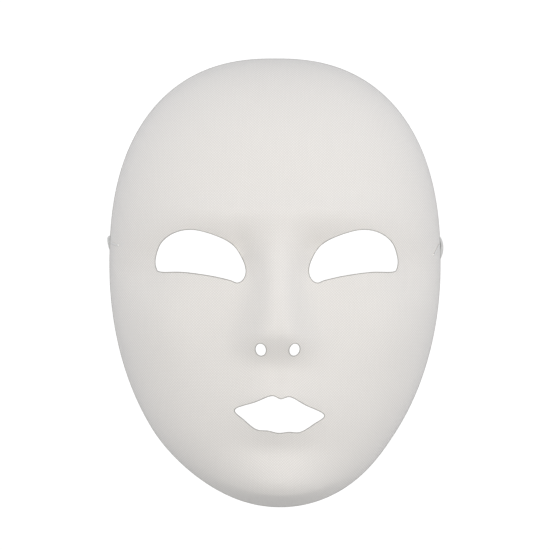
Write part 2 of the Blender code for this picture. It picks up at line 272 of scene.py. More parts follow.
weft = add(tree, "Math", {0: own_rise.outputs[1], 1: lowered}, operation="ADD").outputs[0]
height = add(tree, "Math", {0: warp, 1: weft}, operation="MAXIMUM").outputs[0]

# Where a warp thread lies on top the colour is painted lighter, and where a weft thread does, darker:
# painted light and shade for how each thread's curve meets the light. The gaps get painted shade.
painted_crossing_light = add(tree, "MapRange", {"Value": crossing, "From Min": -0.8, "From Max": 0.8}).outputs[0]
tone_and_painted_shading = add(tree, "MixRGB", {0: painted_crossing_light, 1: linear("e3dfdb"), 2: linear("f1eeea")}).outputs[0]
painted_gap_shade = add(tree, "MapRange", {"Value": height, "From Max": 0.45, "To Min": 0.90}).outputs[0]
stretched = add(tree, "VectorMath", {0: threads, 1: (1.3, 0.05, 1.0)}, operation="MULTIPLY").outputs[0]
slubs = add(tree, "TexNoise", {"Vector": stretched, "Scale": 1.0, "Detail": 3.0}).outputs[0]
slub = add(tree, "MapRange", {
    "Value": slubs, "From Min": 0.3, "From Max": 0.7, "To Min": 0.985, "To Max": 1.0,
}).outputs[0]
# The painted shade of the gaps and the slubs' own tone, together.
gap_shade_and_slub = add(tree, "Math", {0: painted_gap_shade, 1: slub}, operation="MULTIPLY").outputs[0]
colour = add(tree, "VectorMath", {0: tone_and_painted_shading, "Scale": gap_shade_and_slub}, operation="SCALE").outputs[0]
bump = add(tree, "Bump", {"Height": height, "Strength": 0.6, "Distance": THREAD_RISE}).outputs[0]
surface = add(tree, "BsdfPrincipled", {
    "Base Color": colour,
    "Roughness": 0.92,
    "Specular IOR Level": 0.25,
    "Sheen Weight": 0.10,
    "Sheen Roughness": 0.5,
    "Normal": bump,
})
tree.links.new(surface.outputs[0], output.inputs["Surface"])

# %% [markdown]
# ## Painted shade on the cut edges
#
# The openings and the rim are cut with a hot blade. Each cut edge is given a grey finish, smoother
# than the cloth: painted shade, so that the edge shows as a thin dark line. Its grey comes and goes
# at random.

# %% Paint shade on the cut edges
edge_shade, tree, output = new_material("painted shade of cut edges")
# The grey is painted shade: it draws each cut edge as a thin dark line. Noise varies it.
place = add(tree, "TexCoord").outputs["Object"]
edge_shade_noise = add(tree, "TexNoise", {"Vector": place, "Scale": 700.0, "Detail": 2.0}).outputs[0]
tone_and_painted_shading = add(tree, "MixRGB", {0: edge_shade_noise, 1: linear("8e8c87"), 2: linear("bcbab5")}).outputs[0]
surface = add(tree, "BsdfPrincipled", {"Base Color": tone_and_painted_shading, "Roughness": 0.6})
tree.links.new(surface.outputs[0], output.inputs["Surface"])

# %% [markdown]
# ## Vacuum-formed PVC
#
# The shell is white PVC sheet. Its inner side took the texture of the hot sheet, not of the mould,
# so it is smooth with a faint orange peel. PVC's refractive index is about 1.53, and unpolished
# formed sheet has a soft, broad gloss.

# %% Make the PVC
PEEL_SIZE = 1.6 * MM
PEEL_RISE = 0.05 * MM

pvc, tree, output = new_material("vacuum formed white PVC")
place = add(tree, "TexCoord").outputs["Object"]
peel = add(tree, "TexNoise", {"Vector": place, "Scale": 1.0 / PEEL_SIZE, "Detail": 2.0}).outputs[0]
cloud = add(tree, "TexNoise", {"Vector": place, "Scale": 30.0, "Detail": 3.0}).outputs[0]
tone_and_painted_shading = add(tree, "MixRGB", {0: cloud, 1: linear("dedcd6"), 2: linear("e8e6e1")})
gloss = add(tree, "MapRange", {"Value": cloud, "To Min": 0.38, "To Max": 0.50}).outputs[0]
bump = add(tree, "Bump", {"Height": peel, "Strength": 0.25, "Distance": PEEL_RISE})
surface = add(tree, "BsdfPrincipled", {
    "Base Color": tone_and_painted_shading.outputs[0],
    "Roughness": gloss,
    "IOR": 1.53,
    "Normal": bump.outputs[0],
})
tree.links.new(surface.outputs[0], output.inputs["Surface"])

# %% [markdown]
# ## Woven elastic
#
# The strap is white woven elastic: covered rubber cords run along it, and a fine polyester yarn
# crosses them in short ribs. The cords are in the mesh. The ribs, 0.6 mm apart, are a sine wave
# along the strap that steps by half a rib from one cord to the next. Their colour is painted lighter
# on their tops and darker in their grooves, as light and shade. Where the band swings out past the
# cut rim, painted shadow darkens it: the shade of the crease between band and rim.

# %% Weave the elastic
CORDS = 9
RIB_SPACING = 0.6 * MM
RIB_RISE = 0.12 * MM
CREASE_SHADE_FIELD = "crease_shade"

elastic, tree, output = new_material("woven white elastic")
threads = add(tree, "Attribute", attribute_name=THREAD_FIELD).outputs["Vector"]
part = add(tree, "SeparateXYZ", {0: threads})
cord = add(tree, "Math", {0: part.outputs[1]}, operation="FLOOR").outputs[0]
shifted = add(tree, "Math", {0: cord, 1: 0.5, 2: part.outputs[0]}, operation="MULTIPLY_ADD").outputs[0]
turn = add(tree, "Math", {0: shifted, 1: math.tau}, operation="MULTIPLY").outputs[0]
rib = add(tree, "Math", {0: turn}, operation="SINE").outputs[0]
rise = add(tree, "MapRange", {"Value": rib, "From Min": -1.0, "From Max": 1.0}).outputs[0]
# The colour follows the rib height: painted shade in the grooves, painted light on the tops.
tone_and_painted_shading = add(tree, "MixRGB", {0: rise, 1: linear("d2d1cd"), 2: linear("f0efec")}).outputs[0]
# Painted shadow: the crease where the band comes out past the rim is darkened towards 565451.
crease_shade = add(tree, "Attribute", attribute_name=CREASE_SHADE_FIELD).outputs["Fac"]
tone_with_crease_shade = add(tree, "MixRGB", {0: crease_shade, 1: tone_and_painted_shading, 2: linear("565451")}).outputs[0]
bump = add(tree, "Bump", {"Height": rise, "Strength": 0.7, "Distance": RIB_RISE})
surface = add(tree, "BsdfPrincipled", {
    "Base Color": tone_with_crease_shade,
    "Roughness": 0.8,
    "Specular IOR Level": 0.3,
    "Sheen Weight": 0.1,
    "Normal": bump.outputs[0],
})
tree.links.new(surface.outputs[0], output.inputs["Surface"])

# %% [markdown]
# ## Staple wire
#
# Staples are bent from drawn steel wire with a thin zinc coat. Drawing leaves fine lines along the
# wire, and the zinc dulls it a little, so its roughness wanders between satin and dull.

# %% Make the steel
LINES_PER_METRE = (900.0, 900.0, 7000.0)

zinc, tree, output = new_material("zinc coated drawn steel wire")
place = add(tree, "TexCoord").outputs["Object"]
along = add(tree, "Mapping", {"Vector": place, "Scale": LINES_PER_METRE}).outputs[0]
lines = add(tree, "TexNoise", {"Vector": along, "Scale": 1.0, "Detail": 2.0}).outputs[0]
gloss = add(tree, "MapRange", {"Value": lines, "To Min": 0.34, "To Max": 0.52}).outputs[0]
surface = add(tree, "BsdfPrincipled", {
    "Base Color": linear("f2f1ee"),
    "Metallic": 1.0,
    "Roughness": gloss,
})
tree.links.new(surface.outputs[0], output.inputs["Surface"])

# %% [markdown]
# ## The form of the face
#
# A vacuum-formed sheet has no undercuts, so the whole front is one height over the rim plane: a
# dome, plus a swelling for each feature. The outline is two half superellipses, and each swelling
# is a smooth bell. A mould carved by hand isn't quite even: here the chin lies a little to one side.
# This formula is the model's own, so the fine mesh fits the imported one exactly.

# %% The dome and the features
HALF_WIDTH = FACE_HIGH[0]
TOP_HEIGHT = FACE_HIGH[2]
CHIN_HEIGHT = -FACE_LOW[2]
TOP_ROUNDNESS = 2.38
CHIN_ROUNDNESS = 2.02
CHIN_LEAN = 2.8 * MM
LEANS_FROM = -92.0 * MM
DEPTH = 65.0 * MM
TOP_FULLNESS = 2.60
CHIN_FULLNESS = 2.20
FULLNESS_BLEND = 30.0 * MM
FEATURES_FADE_FROM = 0.95

BROW_LEVEL = 29.2 * MM
BROW_HALF_HEIGHT = 8.6 * MM
BROW_RISE = 3.9 * MM
BROW_FULL_TO = 33.0 * MM
BROW_ENDS_AT = 78.0 * MM

NOSE_RISE = 16.7 * MM
NOSE_STARTS_AT = 24.5 * MM
NOSE_TIP_LEVEL = -29.8 * MM
NOSE_FALLS_FROM = -35.8 * MM
NOSE_ENDS_AT = -59.0 * MM
NOSE_HALF_WIDTH_TOP = 10.1 * MM
NOSE_HALF_WIDTH_TIP = 15.0 * MM
NOSE_ROUNDNESS = 2.4

# Side, level, half width, half height and rise of each swelling, in millimetres.
SWELLINGS = {
    "forehead": (0.0, 63.0, 43.0, 33.0, 2.4),
    "nose root": (0.0, 18.5, 9.8, 11.0, 2.4),
    "eye socket": (40.0, 8.7, 26.5, 8.6, -6.6),
    "inner eye corner": (20.3, 5.2, 6.8, 10.8, -5.0),
    "temple": (74.5, -1.6, 13.6, 12.0, -4.8),
    "cheekbone": (64.5, -34.5, 18.0, 21.0, 3.6),
    "nostril wing": (15.2, -42.0, 9.6, 10.4, 3.6),
    "muzzle": (0.0, -79.5, 20.0, 20.4, 5.4),
    "philtrum": (0.0, -65.0, 4.6, 8.6, -0.6),
    "upper lip": (0.0, -74.5, 17.5, 6.2, 2.2),
    "lower lip": (0.0, -96.6, 15.6, 5.9, 1.6),
    "chin fold": (0.0, -100.2, 23.0, 8.6, -3.6),
    "chin": (0.0, -126.2, 27.0, 14.2, 12.6),
}


def smooth_step(low, high, value):
    """Rises smoothly from 0 at low to 1 at high."""
    part = np.clip((value - low) / (high - low), 0.0, 1.0)
    return part * part * (3.0 - 2.0 * part)


def bell(distance, half_width):
    """1 at no distance, fading smoothly to nothing."""
    return np.exp(-((distance / half_width) ** 2))


def lean(z):
    """How far the face's middle line lies to +X: nothing down to the lips, and most at the chin."""
    return CHIN_LEAN * (1.0 - smooth_step(-CHIN_HEIGHT, LEANS_FROM, z))


def outward(x, z):
    """How far out a place is: 0 at the origin and 1 on the rim."""
    height = np.where(z > 0, TOP_HEIGHT, CHIN_HEIGHT)
    power = np.where(z > 0, TOP_ROUNDNESS, CHIN_ROUNDNESS)
    total = (np.abs(x - lean(z)) / HALF_WIDTH) ** power + (np.abs(z) / height) ** power
    return total ** (1.0 / power)


def nose(side, z):
    """The nose grows out of the brow down to its tip, then falls back to the upper lip."""
    grown = 1.0 - smooth_step(NOSE_TIP_LEVEL, NOSE_STARTS_AT, z)
    left = smooth_step(NOSE_ENDS_AT, NOSE_FALLS_FROM, z)
    widened = 1.0 - smooth_step(NOSE_TIP_LEVEL, 0.0, z)
    half_width = NOSE_HALF_WIDTH_TOP + (NOSE_HALF_WIDTH_TIP - NOSE_HALF_WIDTH_TOP) * widened
    return NOSE_RISE * grown * left * np.exp(-((side / half_width) ** NOSE_ROUNDNESS))


def brow(side, z):
    """The brow is a level bar that dies out towards the temples."""
    reach = 1.0 - smooth_step(BROW_FULL_TO, BROW_ENDS_AT, side)
    return BROW_RISE * bell(z - BROW_LEVEL, BROW_HALF_HEIGHT) * reach


def relief(x, z):
    """How far the outer face stands in front of the rim plane at x, z."""
    out = np.clip(outward(x, z), 0.0, 1.0)
    side = np.abs(x - lean(z))
    upper = smooth_step(-FULLNESS_BLEND, FULLNESS_BLEND, z)
    fullness = CHIN_FULLNESS + (TOP_FULLNESS - CHIN_FULLNESS) * upper
    dome = DEPTH * np.sqrt(1.0 - out**fullness)
    features = brow(side, z) + nose(side, z)
    for numbers in SWELLINGS.values():
        centre, level, half_width, half_height, rise = (MM * number for number in numbers)
        features += rise * bell(side - centre, half_width) * bell(z - level, half_height)
    return dome + features * (1.0 - smooth_step(FEATURES_FADE_FROM, 1.0, out))


print("nose tip stands out, mm:", round(float(relief(0.0, NOSE_TIP_LEVEL)) / MM, 1))

# %% [markdown]
# ## The cut openings
#
# The eyes are punched with a die, so both are the same smooth D. The mouth and the nostrils are cut
# by hand: the mouth sits a little off centre and is slightly rolled. Each opening is a smooth curve
# through a few points, made into a prism that a Boolean takes out of both skins.

# %% Draw the openings
EYE_OUTLINE = (
    (17.5, -3.0), (19.4, 3.5), (24.5, 11.0), (34.0, 16.2), (46.5, 19.5),
    (56.5, 18.0), (64.0, 12.5), (67.2, 4.0), (66.8, -2.0), (64.0, -3.9),
    (52.5, -4.0), (38.0, -5.9), (27.0, -8.3), (22.2, -9.9), (18.8, -7.8),
)
MOUTH_HALF = (
    (0.0, -74.4), (5.3, -73.0), (14.0, -77.0), (24.9, -81.8),
    (19.2, -87.4), (12.3, -92.1), (5.8, -92.5), (0.0, -93.4),
)
MOUTH_MIDDLE = (0.0, -83.0)
MOUTH_SHIFT = 1.4
MOUTH_ROLL = math.radians(3.5)
NOSTRIL_PLACE = (9.35, -47.0)
NOSTRIL_HALF_SIZE = (2.9, 3.5)
NOSTRIL_LEAN = math.radians(18)
CURVE_STEPS = 8
PRISM_FRONT = -100.0 * MM
PRISM_LENGTH = 85.0 * MM
RIM_BLOCK = Vector((0.3, 0.02, 0.4))


def rolled(points, middle, roll):
    """The points turned clockwise about the middle, as someone who looks at the face sees it."""
    turned = []
    for x, z in points:
        across, up = x - middle[0], z - middle[1]
        turned.append((
            middle[0] + across * math.cos(roll) + up * math.sin(roll),
            middle[1] + up * math.cos(roll) - across * math.sin(roll),
        ))
    return turned


def mirrored(points):
    """The same outline on the other side of the face."""
    return [(-x, z) for x, z in reversed(points)]


def smooth_outline(points, steps):
    """A closed Catmull-Rom curve through the points, with the given steps between each two."""
    corners = np.array(points)
    before, after, later = (np.roll(corners, shift, axis=0) for shift in (1, -1, -2))
    rows = []
    for t in np.arange(steps) / steps:
        bend = (2 * before - 5 * corners + 4 * after - later) * t**2
        twist = (3 * corners - before - 3 * after + later) * t**3
        rows.append(0.5 * (2 * corners + (after - before) * t + bend + twist))
    return np.stack(rows, axis=1).reshape(-1, 2)


def oval(middle, half_size, steps=32):
    """A closed oval of this many points."""
    turns = math.tau * np.arange(steps) / steps
    return [(middle[0] + half_size[0] * math.cos(t), middle[1] + half_size[1] * math.sin(t)) for t in turns]


eye = smooth_outline(EYE_OUTLINE, CURVE_STEPS)
mouth = list(MOUTH_HALF) + mirrored(MOUTH_HALF)[1:-1]
mouth = rolled(smooth_outline(mouth, CURVE_STEPS), MOUTH_MIDDLE, MOUTH_ROLL)
nostril = rolled(oval(NOSTRIL_PLACE, NOSTRIL_HALF_SIZE), NOSTRIL_PLACE, NOSTRIL_LEAN)
openings = {
    "eye right": eye,
    "eye left": mirrored(list(eye)),
    "mouth": [(x + MOUTH_SHIFT, z) for x, z in mouth],
    "nostril right": nostril,
    "nostril left": mirrored(nostril),
}


def prism(name, outline, collection):
    """A solid of this x, z outline, in millimetres, that runs along Y through the face."""
    bm = bmesh.new()
    face = bm.faces.new([bm.verts.new((x * MM, PRISM_FRONT, z * MM)) for x, z in outline])
    swept = bmesh.ops.extrude_face_region(bm, geom=[face])
    moved = [item for item in swept["geom"] if isinstance(item, bmesh.types.BMVert)]
    bmesh.ops.translate(bm, vec=(0.0, PRISM_LENGTH, 0.0), verts=moved)
    bmesh.ops.recalc_face_normals(bm, faces=bm.faces)
    mesh = bpy.data.meshes.new(name)
    bm.to_mesh(mesh)
    bm.free()
    collection.objects.link(bpy.data.objects.new(name, mesh))


cutters = bpy.data.collections.new("cutters")
bpy.context.scene.collection.children.link(cutters)
for name, outline in openings.items():
    prism(name, outline, cutters)

# The last cutter is a block that lies behind the rim plane and trims both skins flat.
rim_block = bmesh.new()
bmesh.ops.create_cube(rim_block, size=1.0)
bmesh.ops.scale(rim_block, vec=RIM_BLOCK, verts=rim_block.verts)
bmesh.ops.translate(rim_block, vec=(0.0, RIM_BLOCK.y / 2, 0.0), verts=rim_block.verts)
rim_mesh = bpy.data.meshes.new("rim block")
rim_block.to_mesh(rim_mesh)
rim_block.free()
cutters.objects.link(bpy.data.objects.new("rim block", rim_mesh))
print("openings:", ", ".join(openings))

# %% [markdown]
# ## The two skins
#
# Each skin starts as half a fine sphere whose pole is near the nose, with every point moved to its
# place on the face. Solidify gives it its thickness, and one Boolean cuts all its openings and
# trims the rim. The cloth lies straight on the plastic.

# %% Build a skin of the face
RINGS = 64
SPOKES = 160
POLE_LEVEL = -25.0 * MM
RIM_SKIRT = 3.0 * MM
CLOTH_THICKNESS = 0.7 * MM
PLASTIC_THICKNESS = 1.1 * MM
NUDGE = 0.1 * MM
EDGE_COSINE = 0.93
SHARP_EDGE = math.radians(40)


def rim_places(turns):
    """The x and z of the rim outline at these angles, from 0 at +X to a quarter turn at the top."""
    x, z = np.cos(turns), np.sin(turns)
    height = np.where(z > 0, TOP_HEIGHT, CHIN_HEIGHT)
    power = 2.0 / np.where(z > 0, TOP_ROUNDNESS, CHIN_ROUNDNESS)
    level = np.sign(z) * np.abs(z) ** power * height
    return np.sign(x) * np.abs(x) ** power * HALF_WIDTH + lean(level), level


def face_sheet(name):
    """The outer face as an open sheet that runs a little past the rim plane."""
    bm = bmesh.new()
    bmesh.ops.create_uvsphere(bm, u_segments=SPOKES, v_segments=2 * RINGS, radius=1.0)
    ring = math.sin(math.pi / (2 * RINGS))
    bmesh.ops.delete(bm, geom=[v for v in bm.verts if v.co.z < -1.5 * ring], context="VERTS")
    # The equator becomes the rim, and the one ring kept below it the skirt behind the rim.
    points = np.array([v.co for v in bm.verts])
    spread = np.hypot(points[:, 0], points[:, 1])
    rim_x, rim_z = rim_places(np.arctan2(points[:, 1], points[:, 0]))
    spread = np.where(points[:, 2] < 0.5 * ring, 1.0, spread)
    x = spread * rim_x
    z = POLE_LEVEL + spread * (rim_z - POLE_LEVEL)
    y = np.where(points[:, 2] < -0.5 * ring, RIM_SKIRT, -relief(x, z))
    for vert, place in zip(bm.verts, np.column_stack([x, y, z])):
        vert.co = place
    bmesh.ops.recalc_face_normals(bm, faces=bm.faces)
    front = min(bm.faces, key=lambda face: face.calc_center_median().y)
    if front.normal.y > 0:
        bmesh.ops.reverse_faces(bm, faces=bm.faces)
    mesh = bpy.data.meshes.new(name)
    bm.to_mesh(mesh)
    bm.free()
    made = bpy.data.objects.new(name, mesh)
    bpy.context.scene.collection.objects.link(made)
    return made


def apply_modifiers(obj):
    """Replaces the object's mesh by what its modifiers make of it."""
    graph = bpy.context.evaluated_depsgraph_get()
    finished = bpy.data.meshes.new_from_object(obj.evaluated_get(graph))
    obj.modifiers.clear()
    obj.data = finished


def paint_edge_shade(mesh):
    """Gives the grey of painted edge shade to the faces that don't run along the skin: the cut edges."""
    count = len(mesh.polygons)
    centres, normals = np.empty(3 * count), np.empty(3 * count)
    mesh.polygons.foreach_get("center", centres)
    mesh.polygons.foreach_get("normal", normals)
    x, _, z = centres.reshape(-1, 3).T
    across = (relief(x + NUDGE, z) - relief(x - NUDGE, z)) / (2 * NUDGE)
    up = (relief(x, z + NUDGE) - relief(x, z - NUDGE)) / (2 * NUDGE)
    steep = np.column_stack([across, np.ones(count), up])
    facing_out = np.sum(normals.reshape(-1, 3) * steep, axis=1) / np.linalg.norm(steep, axis=1)
    mesh.materials.append(edge_shade)
    cut_faces = np.abs(facing_out) < EDGE_COSINE
    mesh.polygons.foreach_set("material_index", cut_faces.astype(np.int32))


def face_skin(name, depth, thickness, finish):
    """A skin that starts this deep under the outer face, with its openings cut."""
    skin = face_sheet(name)
    solidify = skin.modifiers.new("thickness", "SOLIDIFY")
    solidify.thickness = thickness
    solidify.offset = -1.0 - 2.0 * depth / thickness
    solidify.use_even_offset = True
    cut = skin.modifiers.new("openings", "BOOLEAN")
    cut.operation = "DIFFERENCE"
    cut.solver = "EXACT"
    cut.operand_type = "COLLECTION"
    cut.collection = cutters
    apply_modifiers(skin)
    skin.data.materials.clear()
    skin.data.materials.append(finish)
    paint_edge_shade(skin.data)
    skin.data.shade_smooth()
    skin.data.set_sharp_from_angle(angle=SHARP_EDGE)
    return skin


facing = face_skin("woven_facing", 0.0, CLOTH_THICKNESS, cotton)
shell = face_skin("formed_shell", CLOTH_THICKNESS, PLASTIC_THICKNESS, pvc)
print("facing faces:", len(facing.data.polygons), "shell faces:", len(shell.data.polygons))

# %% [markdown]
# The weave runs up and across the face. The cloth is drawn over the mould with the hot sheet, so on
# a slope it stretches, and its threads spread: only a third of a slope's extra length is taken by
# extra threads. The sums from the middle outwards run over a fine grid, and each point of the mesh
# reads its two thread numbers from that grid.

# %% Number the threads
GRID_STEP = 0.5 * MM
SHARE_OF_SLOPE = 0.33


def thread_numbers(x, z):
    """The warp and weft thread that each place lies on, counted from the middle of the face."""
    grid_x = np.arange(-HALF_WIDTH, HALF_WIDTH + GRID_STEP, GRID_STEP)
    grid_z = np.arange(-CHIN_HEIGHT, TOP_HEIGHT + GRID_STEP, GRID_STEP)
    heights = relief(*np.meshgrid(grid_x, grid_z))
    numbers = []
    for axis, grid in ((1, grid_x), (0, grid_z)):
        lengths = np.hypot(GRID_STEP, np.diff(heights, axis=axis, prepend=0))
        counted = np.cumsum(GRID_STEP + SHARE_OF_SLOPE * (lengths - GRID_STEP), axis=axis)
        middle = np.argmin(np.abs(grid))
        numbers.append((counted - counted.take([middle], axis=axis)) / THREAD_SPACING)
    column = np.clip((x - grid_x[0]) / GRID_STEP, 0, len(grid_x) - 1.001)
    row = np.clip((z - grid_z[0]) / GRID_STEP, 0, len(grid_z) - 1.001)
    left, low = column.astype(int), row.astype(int)
    right_part, high_part = column - left, row - low
    read = []
    for table in numbers:
        lower = table[low, left] * (1 - right_part) + table[low, left + 1] * right_part
        upper = table[low + 1, left] * (1 - right_part) + table[low + 1, left + 1] * right_part
        read.append(lower * (1 - high_part) + upper * high_part)
    return read


def store_threads(mesh, across, up):
    """Keeps two thread coordinates on every point of a mesh."""
    field = mesh.attributes.new(THREAD_FIELD, "FLOAT_VECTOR", "POINT")
    field.data.foreach_set("vector", np.column_stack([across, up, 0 * up]).astype(np.float32).ravel())


points = np.empty(3 * len(facing.data.vertices), np.float32)
facing.data.vertices.foreach_get("co", points)
points = points.reshape(-1, 3).astype(float)
warp_number, weft_number = thread_numbers(points[:, 0], points[:, 2])
store_threads(facing.data, warp_number, weft_number)
print("warp threads across the face:", round(warp_number.max() - warp_number.min()))

# %% Fix the skins to the mask
facing_area = sum(face.area for face in facing.data.polygons) / 2
print("cloth area, square metres:", round(facing_area, 4))
for skin, node, finish_slot in (
    (facing, "facing_cloth", "white_cloth"),
    (shell, "mask_shell", "white_plastic"),
):
    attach(skin, "mask")
    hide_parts(node)

# %% [markdown]
# ## Painted shade lines along the cuts
#
# A fine grey bead, about half a millimetre thick, frames each opening and the rim: a painted shade
# line along the cut edge. Each bead is a round tube along the cut, sunk halfway into the cloth.

# %% Run the beads along the cuts
BEAD_RADIUS = 0.23 * MM
BEAD_INSET = 0.12 * MM
RIM_BEAD_RADIUS = 0.22 * MM
RIM_STEPS = 240


def tube(name, points, radius, finish, closed):
    """A round tube of this radius along the points, as a mesh."""
    curve = bpy.data.curves.new(name, "CURVE")
    curve.dimensions = "3D"
    curve.bevel_depth = radius
    curve.bevel_resolution = 3
    curve.use_fill_caps = not closed
    spline = curve.splines.new("POLY")
    spline.points.add(len(points) - 1)
    for knot, place in zip(spline.points, points):
        knot.co = (*place, 1.0)
    spline.use_cyclic_u = closed
    bent = bpy.data.objects.new("bent tube", curve)
    bpy.context.scene.collection.objects.link(bent)
    graph = bpy.context.evaluated_depsgraph_get()
    mesh = bpy.data.meshes.new_from_object(bent.evaluated_get(graph))
    bpy.data.objects.remove(bent)
    mesh.materials.clear()
    mesh.materials.append(finish)
    mesh.shade_smooth()
    made = bpy.data.objects.new(name, mesh)
    bpy.context.scene.collection.objects.link(made)
    return made


def grown(outline, distance):
    """A closed outline moved this far outwards."""
    corners = np.array(outline, dtype=float)
    ahead = np.roll(corners, -1, axis=0) - np.roll(corners, 1, axis=0)
    sideways = np.column_stack([ahead[:, 1], -ahead[:, 0]])
    sideways /= np.linalg.norm(sideways, axis=1, keepdims=True)
    if np.sum(sideways * (corners - corners.mean(axis=0))) < 0:
        sideways = -sideways
    return corners + distance * sideways


# Each bead is a thin tube in the grey of the painted edge shade, a dark line along the cut.
beads = []
for name, outline in openings.items():
    x, z = grown(np.array(outline) * MM, BEAD_INSET).T
    route = np.column_stack([x, -relief(x, z), z])
    beads.append(tube("edge_shade_bead_" + name.replace(" ", "_"), route, BEAD_RADIUS, edge_shade, True))
x, z = rim_places(np.linspace(0.0, math.tau, RIM_STEPS, endpoint=False))
route = np.column_stack([x, 0 * x - RIM_BEAD_RADIUS, z])
beads.append(tube("edge_shade_bead_rim", route, RIM_BEAD_RADIUS, edge_shade, True))
for bead in beads:
    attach(bead, "mask")
print("beads:", ", ".join(bead.name for bead in beads))

# %% [markdown]
# ## The elastic strap
#
# One flat band is stapled flat against the inside of each temple. It leaves the rim, swings a
# little outwards, and sags in a loop behind the head. The band's middle line is worked out from the
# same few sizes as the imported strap, and its section, with nine cords side by side, is swept along.
# Where the band bends over the rim its edges curl in, and the left side is a little twisted.

# %% The strap's route
STRAP_WIDTH = 12.0 * MM
STRAP_THICKNESS = 1.2 * MM
STRAP_LEVEL = 11.0 * MM
TAB_LENGTH = 27.0 * MM
WALL_TO_STRAP = 2.2 * MM
BULGE_HALF_WIDTH = 93.9 * MM
BULGE_BEHIND = 14.0 * MM
LOOP_REACH = 74.0 * MM
LOOP_SAG = 46.0 * MM
FLEX_LENGTH = 11.0 * MM
ROOT_POINTS = 33
BOW_POINTS = 181
TAB_POINTS = 28
WALL_STEP = 2.0 * MM
WELL_INSIDE = 70.0 * MM
HALVINGS = 40


def wall_side(before_rim, z):
    """Half the width of the outer face, measured this far in front of the rim at the level z."""
    inner, outer = WELL_INSIDE, HALF_WIDTH
    for _ in range(HALVINGS):
        middle = 0.5 * (inner + outer)
        if relief(middle, z) > before_rim:
            inner = middle
        else:
            outer = middle
    return 0.5 * (inner + outer)


def tab_side(y):
    """Where the middle of the strap's thickness lies against the inner wall, at y <= 0."""
    edges = [wall_side(-y, STRAP_LEVEL + part * STRAP_WIDTH) for part in (-0.5, 0.5)]
    slope = (wall_side(-y, STRAP_LEVEL) - wall_side(WALL_STEP - y, STRAP_LEVEL)) / WALL_STEP
    return min(edges) - (WALL_TO_STRAP + 0.5 * STRAP_THICKNESS) * math.hypot(1.0, slope)


def loop_plan():
    """Half of the strap's loop in plan, from the rim at +X round to the middle of the back."""
    start = tab_side(0.0)
    ys = np.linspace(0.0, BULGE_BEHIND, ROOT_POINTS)[:-1]
    root = np.column_stack([start + (BULGE_HALF_WIDTH - start) * smooth_step(0.0, BULGE_BEHIND, ys), ys])
    turns = np.radians(np.linspace(0.0, 90.0, BOW_POINTS))
    bow = np.column_stack([BULGE_HALF_WIDTH * np.cos(turns), BULGE_BEHIND + LOOP_REACH * np.sin(turns)])
    return np.vstack([root, bow])


plan = loop_plan()
along_plan = np.concatenate([[0.0], np.cumsum(np.hypot(*np.diff(plan, axis=0).T))])
HALF_LOOP = float(along_plan[-1])
tab_ys = np.linspace(-TAB_LENGTH, 0.0, TAB_POINTS)
tab_sides = [tab_side(y) for y in tab_ys]


def strap_point(along):
    """A point on the middle of the strap, from -TAB_LENGTH at its right end round to its left one."""
    on_left = along > HALF_LOOP
    along = 2 * HALF_LOOP - along if on_left else along
    if along < 0:
        x, y, z = float(np.interp(along, tab_ys, tab_sides)), along, STRAP_LEVEL
    else:
        x = float(np.interp(along, along_plan, plan[:, 0]))
        y = float(np.interp(along, along_plan, plan[:, 1]))
        z = STRAP_LEVEL - LOOP_SAG * float(smooth_step(0.0, HALF_LOOP, along))
    return Vector((-x if on_left else x, y, z))


print("strap length, mm:", round(2 * (HALF_LOOP + TAB_LENGTH) / MM))

# %% Sweep the strap
CORD_RISE = 0.10
SECTION_STEPS = 54
STATION_SPACING = 1.0 * MM
# Where the painted crease shadow lies along the band from the rim, and its length and width.
CREASE_SHADE_PLACE = 8.5 * MM
CREASE_SHADE_LENGTH = 1.1 * MM
CREASE_SHADE_WIDTH = 4.0 * MM
CURL = 1.6 * MM
CURL_RANGE = (0.0, 8.0 * MM, 25.0 * MM, 60.0 * MM)
LEFT_ROLL = math.radians(25)
LEFT_TUCK = 2.1 * MM
LEFT_RANGE = (0.0, 9.0 * MM, 30.0 * MM, 90.0 * MM)
EDGE_SQUARENESS = 12
SHARP_END = math.radians(60)


def strap_section():
    """The band's outline across its width: offsets across and outward, corded and round-edged."""
    half = 0.5 * STRAP_WIDTH
    turns = np.linspace(-0.5 * math.pi, 0.5 * math.pi, SECTION_STEPS)
    across = half * np.sin(turns)
    edge = np.sqrt(np.clip(1.0 - np.abs(across / half) ** EDGE_SQUARENESS, 0.0, 1.0))
    cords = 1.0 - CORD_RISE * (0.5 + 0.5 * np.cos(math.tau * CORDS * (across / STRAP_WIDTH + 0.5)))
    out = 0.5 * STRAP_THICKNESS * edge * cords
    there = list(zip(across, out))
    back = [(a, -o) for a, o in reversed(there[1:-1])]
    return np.array(there + back)


def swell(low, full, fading, gone, value):
    """Rises smoothly from 0 at low to 1 at full, stays there until fading, and is 0 again at gone."""
    return float(smooth_step(low, full, value) * (1.0 - smooth_step(fading, gone, value)))


def strap_frame(along):
    """The band's middle, its outward and its upward direction, and how far its edges curl in."""
    ahead = (strap_point(along + NUDGE) - strap_point(along - NUDGE)).normalized()
    level = ahead.cross(Vector((0.0, 0.0, 1.0))).normalized()
    from_left = 2 * HALF_LOOP - along
    twisted = swell(*LEFT_RANGE, from_left)
    turned = Quaternion(ahead, LEFT_ROLL * twisted)
    curled = swell(*CURL_RANGE, min(along, from_left))
    middle = strap_point(along) - level * (LEFT_TUCK * twisted)
    return middle, turned @ level, turned @ level.cross(ahead), CURL * curled


